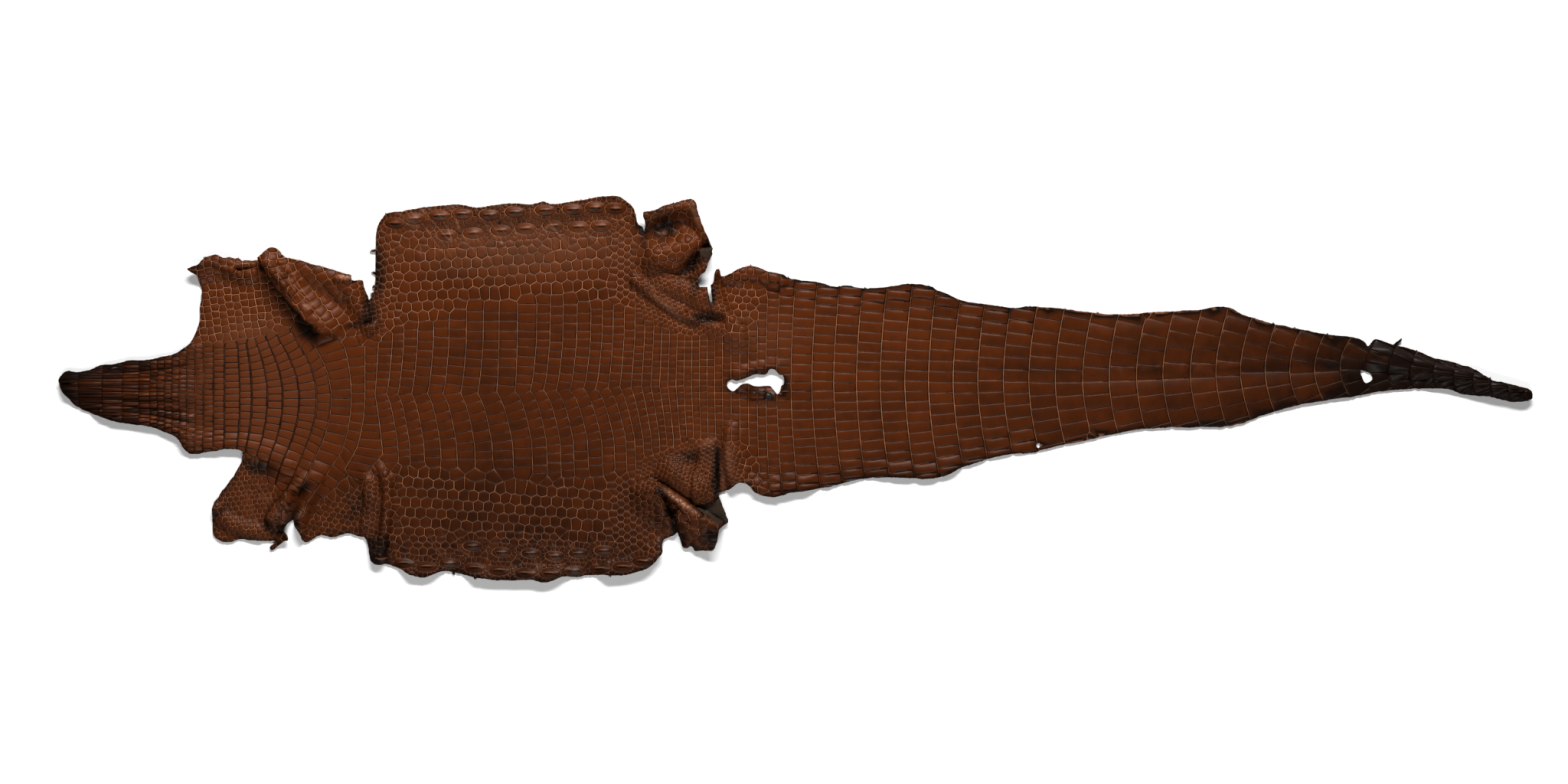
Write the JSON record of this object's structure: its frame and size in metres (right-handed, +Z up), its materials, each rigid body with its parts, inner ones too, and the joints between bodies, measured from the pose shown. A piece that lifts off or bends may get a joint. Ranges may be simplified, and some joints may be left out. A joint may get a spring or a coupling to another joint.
{
  "type": "tanned crocodile skin",
  "caption": "Whole tanned reptile skin laid flat, scales up: neck, four leg flaps, broad belly and long tapering tail with a ragged cut edge.",
  "frame": {"origin": "centre of the skin's box in plan, at the floor it lies on", "axes": "+X from the neck to the tail, +Y across the skin towards its upper edge in the picture, +Z up from the flesh side to the scales"},
  "size_m": [1.613, 0.4226, 0.0191],
  "materials": {
    "scaled_leather": "semi-gloss chestnut brown on the scales, lighter tan in the grooves, dull grey-brown suede on the flesh side"
  },
  "bodies": {
    "root": {"crocodile_skin": "scaled_leather"}
  },
  "joints": []
}
